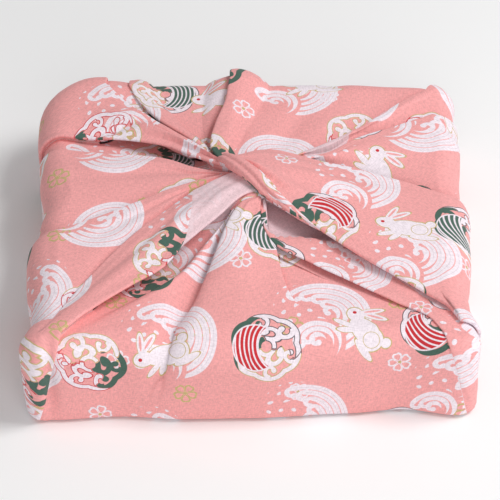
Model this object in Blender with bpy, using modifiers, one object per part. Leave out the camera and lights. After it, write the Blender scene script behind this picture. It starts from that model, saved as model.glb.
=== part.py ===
"""A furoshiki wrap: one square of printed cotton folded round a flat gift box and tied on top.

The cloth is one closed shell. Its outside is a loft of ribs that leave the knot, cross the top,
turn over the edge, and run down the side to the flat base. At each fold the section runs back
under itself, so the layers lie on each other as they do in the tied cloth. An even remesh joins
the layers where they touch, and the space that the box took is then cut out of the middle.
Plan sizes in the tables are millimetres, X to the right and Y to the back, from the knot.
"""

import math

import bmesh
import bpy
import numpy as np

MM = 0.001

# Driving dimensions of the tied wrap, in millimetres
TOP = 45.0
BASE_EDGE_RADIUS = 3.0
# Corners in plan, counter-clockwise, and how round the cloth is there
CORNERS = [
    dict(name="front_right", x=99.5, y=-93.0, radius=7.0),
    dict(name="back_right", x=99.0, y=98.5, radius=15.0),
    dict(name="back_left", x=-100.0, y=98.5, radius=27.0),
    dict(name="front_left", x=-101.0, y=-98.0, radius=8.0),
]
# By the angle from the knot in degrees, counter-clockwise: how far the side swells or draws in,
# and how round the top's edge is
SIDES = [
    dict(angle=-90, swell=3.0, edge=18.0), dict(angle=-65, swell=1.0, edge=15.0),
    dict(angle=-54, swell=-1.0, edge=12.0), dict(angle=-43, swell=4.0, edge=9.0),
    dict(angle=-33, swell=-2.5, edge=10.0), dict(angle=-12, swell=0.0, edge=11.0),
    dict(angle=2, swell=2.5, edge=11.0), dict(angle=18, swell=0.0, edge=11.0),
    dict(angle=45, swell=0.5, edge=11.0), dict(angle=90, swell=0.0, edge=9.0),
    dict(angle=140, swell=1.5, edge=13.0), dict(angle=155, swell=2.5, edge=12.0),
    dict(angle=166, swell=0.0, edge=12.0), dict(angle=176, swell=-2.5, edge=12.0),
    dict(angle=186, swell=-0.5, edge=12.0), dict(angle=194, swell=2.5, edge=12.0),
    dict(angle=203, swell=2.0, edge=13.0), dict(angle=216, swell=-0.5, edge=13.0),
    dict(angle=224, swell=2.5, edge=13.0), dict(angle=238, swell=0.5, edge=15.0),
    dict(angle=252, swell=3.0, edge=18.0),
]
# The loft runs this far below the surface, and is then cut off flat there
BASE_SPARE = 1.5
# The box that the cloth was tied round leaves this space
SPACE_WIDTH = 188.0
SPACE_DEPTH = 181.0
SPACE_BOTTOM = 1.6
SPACE_TOP = 41.6
SPACE_CORNER_RADIUS = 24.0
SPACE_EDGE_RADIUS = 10.0
# The cloth rises to the knot as a low tent
TENT_HEIGHT = 9.0
TENT_REACH = 40.0
# A turned edge of the doubled cloth: its radius, which a low fold has less of, the shoulder
# behind it, the toe in front of it, and how high between the layers the tuck turns back
FOLD_RADIUS = 0.9
FOLD_RADIUS_SHARE = 0.33
SHOULDER = 1.6
TOE = 1.0
TUCK_LEVEL = 0.5
# How fast the folds flatten down the side, as a power of the way, which is measured at this edge radius
SIDE_FADE_POWER = 0.8
USUAL_EDGE_RADIUS = 12.0
# Spacing of the loft
RIB_SPACING = 17.0
TOP_STATIONS = [0.0, 0.06, 0.13, 0.21, 0.30, 0.40, 0.51, 0.62, 0.73, 0.83, 0.92, 1.0]
EDGE_STEPS = 4
SIDE_STEPS = 3
BASE_EDGE_STEPS = 3
MIDDLE = 0.42
# The share of the way round just before the first fold, where the folds' shares begin
FIRST_SHARE = 0.06

# One row for each fold, counter-clockwise from the front right, as seen from above.
# over: 1 where the next panel lies on the last one, -1 where it is tucked under it, and 0 for a
# soft trough or ridge, whose low alone counts.
# line: the fold's edge in plan, from the knot to the rim.
# overlap, low, high: how far the layers overlap, and how far the lower and the upper one stand
# above the tent, at the knot, the middle and the rim. puff: how far the next panel swells.
# lean: how far the fold drifts round the side on its way down. gone: the share of the way down
# where it has flattened out.
FOLDS = [
    dict(name="hem", over=1, lean=13,
         line=[(5, -7), (6, -17), (6, -27), (13, -37), (28, -46), (46, -57), (64, -68), (78, -76), (87, -84)],
         overlap=(1, 5, 1.5), low=(0, 0, 0), high=(1, 3.6, 1.0), puff=(-3, -1.2, 0)),
    dict(name="main_lower", over=1,
         line=[(-13, 19), (-1, 3), (8, -8), (17, -17), (32, -26), (59, -48), (85, -69), (97, -81)],
         overlap=(1, 8, 4), low=(0, 0.5, 0), high=(7, 5.5, 3), puff=(2, 2.5, 1.5)),
    dict(name="main_upper", over=-1,
         line=[(-13, 22.5), (-5, 25.5), (8, 32), (20, 30), (32, 26), (52, 22), (73, 15), (93, 7)],
         overlap=(1, 8, 5), low=(0, 0, 0), high=(6, 4, 2.5), puff=(0, 1.5, 1.5)),
    dict(name="second_pleat", over=-1,
         line=[(-13.3, 23), (8, 25), (34, 33), (52, 48), (72, 59), (93, 68)],
         overlap=(1, 7, 4), low=(0, 0, 0), high=(2, 3.2, 2.2), puff=(0, 1, 1)),
    dict(name="first_pleat", over=-1,
         line=[(-13.6, 23.4), (3, 28), (23, 33), (48, 52), (62, 66), (74, 78), (87, 89)],
         overlap=(1, 7, 4), low=(0, 0, 0.5), high=(2, 3.4, 2.6), puff=(0, 0.5, 1)),
    dict(name="back_ridge_foot", over=0,
         line=[(-13.9, 23.4), (-8, 36), (-3, 50), (2, 66), (6, 80), (9, 86)],
         low=(2, 3.5, 0.5), puff=(0.5, 1.5, 3)),
    dict(name="back_ridge", over=-1,
         line=[(-14.2, 23.4), (-20, 36), (-18, 52), (-16, 60), (-13, 71), (-11, 86)],
         overlap=(1, 6, 0.6), low=(0, 0, 7), high=(3, 7.5, 10.5), puff=(0, 0.5, 1)),
    dict(name="back_ridge_side", over=0,
         line=[(-14.4, 23.3), (-21.5, 40), (-24, 58), (-24, 74), (-23, 86)],
         low=(0.5, 0.3, 0.8), puff=(0, 0, 0)),
    dict(name="striped_foot", over=0,
         line=[(-14.5, 23.2), (-25, 41), (-32, 56), (-36, 64), (-43, 76), (-49, 86)],
         low=(0.5, 0.5, 0.5), puff=(0, 1, 1.5)),
    dict(name="striped_fold", over=-1,
         line=[(-14.8, 23), (-28, 42), (-42, 56), (-50, 66), (-57, 78), (-61, 86)],
         overlap=(0.7, 5, 4), low=(0, 0, 3.5), high=(1, 4.6, 4.8), puff=(0, -0.3, 0)),
    dict(name="left_upper", over=1,
         line=[(-15, 22), (-22, 33), (-30, 43), (-48, 60), (-61, 73), (-72, 86)],
         overlap=(0.7, 7, 5), low=(0, 0, 4), high=(5, 5, 6), puff=(1, 2.2, 1)),
    dict(name="left_lower", over=-1,
         line=[(-10.5, 15.5), (-19, 21), (-29, 29.5), (-41, 39), (-58, 45.5), (-75, 49), (-92, 51)],
         overlap=(0.7, 5, 2), low=(0.5, 0, 0), high=(5, 4.5, 2), puff=(0, -0.5, 0)),
    dict(name="rabbit_upper", over=1,
         line=[(-10, 14.5), (-19, 18), (-29, 23.5), (-40, 31), (-56, 36), (-71, 38), (-92, 42)],
         overlap=(0.5, 3, 1), low=(0.5, 0, 0.5), high=(2, 2.2, 1.2), puff=(0, 1.5, 1.5)),
    dict(name="vine_upper", over=1,
         line=[(-9.5, 13.5), (-18, 12.5), (-28, 9.5), (-40, 5), (-53, -1), (-66, -7), (-82, -15), (-92, -18)],
         overlap=(0.5, 6, 4), low=(0.5, 0, 0), high=(2.5, 3.4, 2), puff=(0, 0.5, 1)),
    dict(name="strip_upper", over=1,
         line=[(-9, 12.5), (-14, 10), (-22, 5), (-28, 1), (-42, -12), (-54, -24), (-68, -43), (-82, -66),
               (-90, -80)],
         overlap=(0.5, 4, 0.6), low=(1, 1.5, 0.4), high=(3.5, 4.6, 0.9), puff=(0.5, 0.8, 0)),
    dict(name="strip_lower", over=-1, lean=-12,
         line=[(4, -2), (-5, -7), (-14, -20), (-22, -34), (-31, -49), (-50, -59), (-73, -77), (-86, -86)],
         overlap=(0.7, 8, 3), low=(-1, -1, 0), high=(4, 6, 2.6), puff=(0, 1.5, 0.3)),
    dict(name="front_ridge", over=1, lean=-16, gone=0.5,
         line=[(3, -5), (-5, -9), (-10, -18), (-15, -32), (-21, -50), (-27, -68), (-34, -88)],
         overlap=(0.5, 6, 2.0), low=(0, -0.8, -0.5), high=(2.5, 4, 1.2), puff=(0.5, 0, 0.5)),
    dict(name="front_edge", over=-1, lean=6, gone=0.25,
         line=[(4.5, -6.5), (4, -14), (5, -24), (10.5, -33), (12.5, -44), (17, -62), (26, -88)],
         overlap=(0.5, 4, 0), low=(0, -0.8, 0), high=(2.5, 2.2, 0), puff=(0, 0, 0)),
]

# Rolled strands of the knot: their centre lines with heights, and their radii, in millimetres
KNOT_STRANDS = [
    dict(path=[(-15, 25, 49), (-13, 20, 57), (-7, 12, 60.5), (1, 3, 61),
               (8, -5, 58.5), (17, -13, 56), (24, -19, 54), (32, -25, 52)],
         radii=[2.0, 3.4, 4.2, 4.4, 4.0, 3.0, 2.0, 0.8]),
    dict(path=[(-9, -8, 49), (-5, -6, 52.5), (1, -4, 54.5), (7, -3, 53.5), (13, -4, 50)],
         radii=[2.0, 2.6, 2.8, 2.6, 1.5]),
]
STRAND_SIDES = 10
STRAND_STEPS = 14

# The gap beside the knot where the left strip stands off the front, down to the space inside
GAP_FROM = (-13.5, -23.5)
GAP_TO = (-25.5, -47.5)
GAP_WIDTH = 6.4
GAP_CORNER_RADIUS = 1.9
GAP_BOTTOM_LEVEL = 35.6
GAP_TOP_LEVEL = 75.0
# The block that cuts the base off flat
SURFACE_BLOCK_WIDTH = 380.0
SURFACE_BLOCK_HEIGHT = 20.0

# The even remesh that joins the layers, and the share of its triangles that stays
REMESH_SIZE = 1.1
KEPT_SHARE = 0.034


def clean_scene():
    for item in list(bpy.data.objects):
        bpy.data.objects.remove(item)


def collection(name):
    made = bpy.data.collections.new(name)
    bpy.context.scene.collection.children.link(made)
    return made


def cotton(name, colour):
    made = bpy.data.materials.new(name)
    made.use_nodes = True
    shader = made.node_tree.nodes["Principled BSDF"]
    shader.inputs["Base Color"].default_value = (*colour, 1)
    shader.inputs["Roughness"].default_value = 0.85
    shader.inputs["Metallic"].default_value = 0
    return made


def by_angle(angle, what):
    """A value of the sides table at an angle in degrees, running smoothly from row to row."""
    angles = [row["angle"] for row in SIDES] + [SIDES[0]["angle"] + 360]
    values = [row[what] for row in SIDES] + [SIDES[0][what]]
    angle = (angle - angles[0]) % 360 + angles[0]
    k = int(np.searchsorted(angles, angle, side="right")) - 1
    u = (angle - angles[k]) / (angles[k + 1] - angles[k])
    return values[k] + (values[k + 1] - values[k]) * u * u * (3 - 2 * u)


def dense_outline(step=0.5):
    """The wrap's outline in plan from the front's middle, counter-clockwise.

    Gives its points, its outward directions and the radii of the top's edge.
    """
    spots = [np.array([row["x"], row["y"]]) for row in CORNERS]
    middle = (spots[-1] + spots[0]) / 2
    points, outs = [], []

    def run(start, end):
        along = (end - start) / np.linalg.norm(end - start)
        for u in np.arange(0, 1, step / np.linalg.norm(end - start)):
            points.append(start + (end - start) * u)
            outs.append(np.array([along[1], -along[0]]))

    at = middle
    for k, row in enumerate(CORNERS):
        coming = spots[k] - (spots[k - 1] if k else middle)
        going = spots[(k + 1) % len(spots)] - spots[k]
        coming, going = coming / np.linalg.norm(coming), going / np.linalg.norm(going)
        first, last = (math.atan2(-d[0], d[1]) for d in (coming, going))
        turn = (last - first) % (2 * math.pi)
        reach = row["radius"] * math.tan(turn / 2)
        run(at, spots[k] - coming * reach)
        centre = spots[k] - coming * reach - row["radius"] * np.array([coming[1], -coming[0]])
        for u in np.arange(0, 1, step / (row["radius"] * turn)):
            out = np.array([math.cos(first + turn * u), math.sin(first + turn * u)])
            points.append(centre + row["radius"] * out)
            outs.append(out)
        at = spots[k] + going * reach
    run(at, middle)
    angles = [math.degrees(math.atan2(p[1], p[0])) for p in points]
    swells = [by_angle(angle, "swell") for angle in angles]
    radii = np.array([by_angle(angle, "edge") for angle in angles])
    return np.array([p + out * swell for p, out, swell in zip(points, outs, swells)]), np.array(outs), radii


OUTLINE, OUTWARD, EDGE_RADII = dense_outline()
OUTLINE_SHARES = np.linspace(0, 1, len(OUTLINE), endpoint=False)
PERIMETER = float(np.linalg.norm(np.roll(OUTLINE, -1, axis=0) - OUTLINE, axis=1).sum())


def outline(share, inset=0.0):
    """A point on the outline at that share of the way round, and the outward direction there."""
    out = np.array([np.interp(share, OUTLINE_SHARES, OUTWARD[:, k], period=1) for k in range(2)])
    out /= np.linalg.norm(out)
    at = np.array([np.interp(share, OUTLINE_SHARES, OUTLINE[:, k], period=1) for k in range(2)])
    return at - out * inset, out


def edge_radius(share):
    return float(np.interp(share, OUTLINE_SHARES, EDGE_RADII, period=1))


def rim_at(share):
    """A point on the line where the top turns into the sides."""
    return outline(share, edge_radius(share))[0]


def share_near(point):
    """The share of the outline whose rim line passes nearest to a point in plan."""
    rim = OUTLINE - OUTWARD * EDGE_RADII[:, None]
    share = float(OUTLINE_SHARES[np.argmin(np.linalg.norm(rim - np.array(point), axis=1))])
    return (share - FIRST_SHARE) % 1 + FIRST_SHARE


def smooth_line(points, steps=12):
    """A dense Catmull-Rom curve through the points."""
    p = [np.array(q, float) for q in points]
    p = [2 * p[0] - p[1], *p, 2 * p[-1] - p[-2]]
    dense = []
    for a, b, c, d in zip(p, p[1:], p[2:], p[3:]):
        for u in np.arange(steps) / steps:
            dense.append(0.5 * (2 * b + (c - a) * u + (2 * a - 5 * b + 4 * c - d) * u * u
                                + (3 * b - a - 3 * c + d) * u ** 3))
    dense.append(p[-2])
    return np.array(dense)


def resample(dense, shares):
    steps = np.linalg.norm(np.diff(dense, axis=0), axis=1)
    along = np.concatenate([[0], np.cumsum(steps)])
    return np.array([[np.interp(s * along[-1], along, dense[:, k]) for k in range(dense.shape[1])]
                     for s in shares])


def three_way(values, share):
    """A value that runs smoothly from the knot's to the middle's to the rim's."""
    knot, middle, rim = values
    if share < MIDDLE:
        u = share / MIDDLE
        return knot + (middle - knot) * u * u * (3 - 2 * u)
    u = (share - MIDDLE) / (1 - MIDDLE)
    return middle + (rim - middle) * u * u * (3 - 2 * u)


def tent(x, y):
    """How far the cloth rises towards the knot."""
    return TENT_HEIGHT * math.exp(-(x * x + y * y) / TENT_REACH ** 2)


def down_stations():
    """The stations below the rim.

    Each is the turn over the top's edge, the share of the straight side and the turn at the base.
    """
    quarter = math.pi / 2
    found = [(quarter * (k + 1) / EDGE_STEPS, 0.0, 0.0) for k in range(EDGE_STEPS)]
    found += [(quarter, (k + 1) / SIDE_STEPS, 0.0) for k in range(SIDE_STEPS)]
    found += [(quarter, 1.0, quarter * (k + 1) / BASE_EDGE_STEPS) for k in range(BASE_EDGE_STEPS)]
    return found


DOWN = down_stations()
STATIONS = len(TOP_STATIONS) + len(DOWN)


def way_down(station):
    """How far down the side a station lies, measured along the cloth."""
    over, side, under = station
    straight = TOP - USUAL_EDGE_RADIUS - BASE_EDGE_RADIUS
    return USUAL_EDGE_RADIUS * over + straight * side + BASE_EDGE_RADIUS * under


DOWN_SHARE = [0.0] * len(TOP_STATIONS) + [way_down(station) / way_down(DOWN[-1]) for station in DOWN]


def side_point(share, station, lift):
    """A point on the side of the wrap at a station, lift off the plain envelope."""
    over, side, under = station
    radius = edge_radius(share)
    inset = radius * (1 - math.sin(over)) + BASE_EDGE_RADIUS * (1 - math.cos(under))
    z = TOP - radius * (1 - math.cos(over)) - (TOP - radius - BASE_EDGE_RADIUS) * side
    z -= BASE_EDGE_RADIUS * math.sin(under)
    at, out = outline(share, inset)
    at = at + out * math.sin(over) * math.cos(under) * lift
    return np.array([at[0], at[1], z + math.cos(over) * lift])


def side_fade(gone):
    """How much of a fold is left at each station, where it's gone at this share of the way down."""
    return [max(0.0, 1 - down / gone) ** SIDE_FADE_POWER for down in DOWN_SHARE]


def fold_ribs(fold):
    """The four ribs of one fold, counter-clockwise: plan points on the top, share of the outline, and lifts."""
    share = share_near(fold["line"][-1])
    line = smooth_line([*fold["line"][:-1], rim_at(share)])
    plan = resample(line, TOP_STATIONS)
    shares_along = [*TOP_STATIONS, *[1.0] * len(DOWN)]
    share = share + fold.get("lean", 0) / PERIMETER * np.array(DOWN_SHARE)
    fade = side_fade(fold.get("gone", 1.0))
    if fold["over"] == 0:
        lift = [three_way(fold["low"], u) * f for u, f in zip(shares_along, fade)]
        return [dict(plan=plan, share=share, lift=np.array(lift))]
    ahead = np.gradient(plan, axis=0)
    ahead /= np.linalg.norm(ahead, axis=1)[:, None]
    across = np.column_stack([-ahead[:, 1], ahead[:, 0]]) * fold["over"]
    overlap = [three_way(fold["overlap"], u) * f for u, f in zip(shares_along, fade)]
    low = [three_way(fold["low"], u) * f for u, f in zip(shares_along, fade)]
    high = [three_way(fold["high"], u) * f for u, f in zip(shares_along, fade)]
    ribs = []
    for kind in ("toe", "tuck", "edge", "shoulder"):
        offsets, lifts = [], []
        for w, lo, hi in zip(overlap, low, high):
            radius = min(FOLD_RADIUS, (hi - lo) * FOLD_RADIUS_SHARE)
            reach = min(1.0, w / 2)
            offsets.append({"toe": -TOE * reach, "tuck": w, "edge": 0.0, "shoulder": SHOULDER * reach}[kind])
            lifts.append({"toe": lo, "tuck": lo + (hi - 2 * radius - lo) * TUCK_LEVEL, "edge": hi - radius,
                          "shoulder": hi}[kind])
        top = len(TOP_STATIONS)
        ribs.append(dict(plan=plan + across * np.array(offsets[:top])[:, None],
                         share=share + fold["over"] * np.array(offsets) / PERIMETER, lift=np.array(lifts)))
    return ribs if fold["over"] > 0 else ribs[::-1]


def between(first, second, puff):
    """The ribs of a panel between two folds."""
    count = max(1, round((second["share"][-1] - first["share"][-1]) * PERIMETER / RIB_SPACING))
    top = len(TOP_STATIONS)
    along = np.array([*TOP_STATIONS, *[1.0] * len(DOWN)])
    swell = np.array([three_way(puff, u) for u in along]) * side_fade(1.0)
    made = []
    for k in range(1, count + 1):
        v = k / (count + 1)
        plan = first["plan"] * (1 - v) + second["plan"] * v
        share = first["share"] * (1 - v) + second["share"] * v
        rim = rim_at(share[top - 1])
        plan = plan + (rim - plan[-1]) * (np.array(TOP_STATIONS) ** 3)[:, None]
        lift = first["lift"] * (1 - v) + second["lift"] * v + swell * 4 * v * (1 - v)
        made.append(dict(plan=plan, share=share, lift=lift))
    return made


def all_ribs():
    folds = [fold_ribs(fold) for fold in FOLDS]
    ribs = []
    for k, fold in enumerate(folds):
        following = folds[(k + 1) % len(folds)]
        ribs += fold
        after = following[0]
        if k + 1 == len(folds):
            after = dict(after, share=after["share"] + 1)
        ribs += between(fold[-1], after, FOLDS[k]["puff"])
    return ribs


def rib_points(rib):
    """The rib's points in millimetres, from the knot to below the base."""
    top = len(TOP_STATIONS)
    points = [np.array([x, y, TOP + tent(x, y) + lift]) for (x, y), lift in zip(rib["plan"], rib["lift"])]
    points += [side_point(s, d, lift) for s, d, lift in zip(rib["share"][top:], DOWN, rib["lift"][top:])]
    points.append(points[-1] - np.array([0, 0, BASE_SPARE]))
    return points


def mesh_object(bm, name, group, material=None):
    mesh = bpy.data.meshes.new(name)
    bm.to_mesh(mesh)
    bm.free()
    made = bpy.data.objects.new(name, mesh)
    group.objects.link(made)
    if material:
        mesh.materials.append(material)
    return made


def cloth_body(group, material):
    """The outside of the wrap: a loft of unlike sections closed at the knot and the base, with the strands."""
    bm = bmesh.new()
    rows = [[bm.verts.new(p * MM) for p in rib_points(rib)] for rib in all_ribs()]
    for first, second in zip(rows, rows[1:] + rows[:1]):
        for a, b, c, d in zip(first, first[1:], second[1:], second):
            bm.faces.new((a, b, c, d))
    bm.faces.new([row[0] for row in rows])
    bm.faces.new([row[-1] for row in reversed(rows)])
    bmesh.ops.recalc_face_normals(bm, faces=bm.faces)
    for strand in KNOT_STRANDS:
        bm.from_mesh(strand_mesh(strand))
    return mesh_object(bm, "wrap_cloth", group, material)


def strand_mesh(strand):
    """A rolled strand of the knot as a tube of changing radius, with closed ends."""
    shares = np.linspace(0, 1, STRAND_STEPS)
    centre = resample(smooth_line(strand["path"]), shares)
    radii = np.interp(shares, np.linspace(0, 1, len(strand["radii"])), strand["radii"])
    curve = bpy.data.curves.new("strand", "CURVE")
    curve.dimensions = "3D"
    curve.bevel_depth = MM
    curve.bevel_resolution = STRAND_SIDES // 2 - 2
    curve.use_fill_caps = True
    spline = curve.splines.new("POLY")
    spline.points.add(len(centre) - 1)
    for point, at, radius in zip(spline.points, centre, radii):
        point.co = (*(at * MM), 1)
        point.radius = radius
    tube = bpy.data.objects.new("strand", curve)
    bpy.context.scene.collection.objects.link(tube)
    bpy.context.view_layer.update()
    mesh = bpy.data.meshes.new_from_object(tube.evaluated_get(bpy.context.evaluated_depsgraph_get()))
    bpy.data.objects.remove(tube)
    bm = bmesh.new()
    bm.from_mesh(mesh)
    bmesh.ops.remove_doubles(bm, verts=bm.verts, dist=0.01 * MM)
    bm.to_mesh(mesh)
    bm.free()
    return mesh


def inner_space(group):
    """The room that the box takes inside the cloth."""
    bm = bmesh.new()
    bmesh.ops.create_cube(bm, size=1.0)
    height = SPACE_TOP - SPACE_BOTTOM
    bmesh.ops.scale(bm, vec=(SPACE_WIDTH * MM, SPACE_DEPTH * MM, height * MM), verts=bm.verts)
    bmesh.ops.translate(bm, vec=(0, 0, (SPACE_BOTTOM + height / 2) * MM), verts=bm.verts)
    upright = [e for e in bm.edges if abs(e.verts[0].co.z - e.verts[1].co.z) > height / 2 * MM]
    bmesh.ops.bevel(bm, geom=upright, offset=SPACE_CORNER_RADIUS * MM, segments=4, profile=0.5,
                    affect="EDGES", material=-1)
    level = [e for e in bm.edges if abs(e.verts[0].co.z - e.verts[1].co.z) < height / 2 * MM]
    bmesh.ops.bevel(bm, geom=level, offset=SPACE_EDGE_RADIUS * MM, segments=2, profile=0.5,
                    affect="EDGES", material=-1)
    return mesh_object(bm, "inner_space", group)


def side_gap(group):
    """The gap beside the knot, a slot with round ends."""
    run = np.array(GAP_TO) - np.array(GAP_FROM)
    length = float(np.linalg.norm(run))
    centre = (np.array(GAP_TO) + np.array(GAP_FROM)) / 2
    height = GAP_TOP_LEVEL - GAP_BOTTOM_LEVEL
    bm = bmesh.new()
    bmesh.ops.create_cube(bm, size=1.0)
    bmesh.ops.scale(bm, vec=(length * MM, GAP_WIDTH * MM, height * MM), verts=bm.verts)
    upright = [e for e in bm.edges if abs(e.verts[0].co.z - e.verts[1].co.z) > height / 2 * MM]
    bmesh.ops.bevel(bm, geom=upright, offset=GAP_CORNER_RADIUS * MM, segments=2, profile=0.5,
                    affect="EDGES", material=-1)
    made = mesh_object(bm, "side_gap", group)
    made.location = (centre[0] * MM, centre[1] * MM, (GAP_BOTTOM_LEVEL + height / 2) * MM)
    made.rotation_euler.z = math.atan2(run[1], run[0])
    return made


def below_surface(group):
    """What lies below the surface that the wrap rests on."""
    bm = bmesh.new()
    bmesh.ops.create_cube(bm, size=1.0)
    size = (SURFACE_BLOCK_WIDTH * MM, SURFACE_BLOCK_WIDTH * MM, SURFACE_BLOCK_HEIGHT * MM)
    bmesh.ops.scale(bm, vec=size, verts=bm.verts)
    bmesh.ops.translate(bm, vec=(0, 0, -SURFACE_BLOCK_HEIGHT / 2 * MM), verts=bm.verts)
    return mesh_object(bm, "below_surface", group)


def join_layers(body):
    """Join the layers where they touch, with the fewest triangles that keep the folds."""
    even = body.modifiers.new("join_layers", "REMESH")
    even.mode = "VOXEL"
    even.voxel_size = REMESH_SIZE * MM
    fewer = body.modifiers.new("fewer_triangles", "DECIMATE")
    fewer.ratio = KEPT_SHARE


def cut(body, cutter):
    cutter.hide_render = True
    cutter.display_type = "WIRE"
    step = body.modifiers.new(f"cut_{cutter.name}", "BOOLEAN")
    step.operation = "DIFFERENCE"
    step.solver = "EXACT"
    step.object = cutter


def main():
    clean_scene()
    parts = collection("furoshiki_wrap")
    cutters = collection("cutters")
    body = cloth_body(parts, cotton("printed_cotton", (0.87, 0.48, 0.46)))
    join_layers(body)
    for cutter in (below_surface(cutters), inner_space(cutters), side_gap(cutters)):
        cut(body, cutter)


main()
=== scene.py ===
"""The looks of a tied furoshiki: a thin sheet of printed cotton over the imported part's folds."""

import math

import bmesh
import bpy
import numpy as np
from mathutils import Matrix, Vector


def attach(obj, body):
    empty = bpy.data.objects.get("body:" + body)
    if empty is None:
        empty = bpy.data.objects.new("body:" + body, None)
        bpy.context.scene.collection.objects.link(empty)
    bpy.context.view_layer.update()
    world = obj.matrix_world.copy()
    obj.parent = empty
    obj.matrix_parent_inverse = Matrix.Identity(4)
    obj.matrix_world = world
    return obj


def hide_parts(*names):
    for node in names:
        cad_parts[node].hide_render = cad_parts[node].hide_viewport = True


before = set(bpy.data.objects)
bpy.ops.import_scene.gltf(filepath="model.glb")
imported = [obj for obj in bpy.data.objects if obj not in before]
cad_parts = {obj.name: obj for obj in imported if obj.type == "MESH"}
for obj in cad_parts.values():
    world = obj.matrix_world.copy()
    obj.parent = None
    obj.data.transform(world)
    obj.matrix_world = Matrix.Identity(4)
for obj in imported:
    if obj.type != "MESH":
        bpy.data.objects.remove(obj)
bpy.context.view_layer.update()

MM = 0.001

# The tied wrap's driving sizes, in millimetres, as the solid has them
TOP = 45.0
BASE_EDGE_RADIUS = 3.0
CORNERS = [
    dict(name="front_right", x=99.5, y=-93.0, radius=7.0),
    dict(name="back_right", x=99.0, y=98.5, radius=15.0),
    dict(name="back_left", x=-100.0, y=98.5, radius=27.0),
    dict(name="front_left", x=-101.0, y=-98.0, radius=8.0),
]
# By the angle from the knot in degrees: how far the side swells, and how round the top's edge is
SIDES = [
    dict(angle=-90, swell=3.0, edge=18.0), dict(angle=-65, swell=1.0, edge=15.0),
    dict(angle=-54, swell=-1.0, edge=12.0), dict(angle=-43, swell=4.0, edge=6.5),
    dict(angle=-33, swell=-2.5, edge=10.0), dict(angle=-12, swell=0.0, edge=11.0),
    dict(angle=2, swell=2.5, edge=11.0), dict(angle=18, swell=0.0, edge=11.0),
    dict(angle=45, swell=0.5, edge=11.0), dict(angle=90, swell=0.0, edge=9.0),
    dict(angle=140, swell=1.5, edge=13.0), dict(angle=155, swell=2.5, edge=12.0),
    dict(angle=166, swell=0.0, edge=12.0), dict(angle=176, swell=-2.5, edge=12.0),
    dict(angle=186, swell=-0.5, edge=12.0), dict(angle=194, swell=2.5, edge=12.0),
    dict(angle=203, swell=2.0, edge=13.0), dict(angle=216, swell=-0.5, edge=13.0),
    dict(angle=224, swell=2.5, edge=7.5), dict(angle=238, swell=0.5, edge=15.0),
    dict(angle=252, swell=3.0, edge=18.0),
]
# How much higher the top lies at the knot, and how far out that reaches
TENT_HEIGHT = 9.0
TENT_REACH = 40.0
# The share of the way from the knot to the rim that counts as the middle
MIDDLE = 0.42

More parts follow.
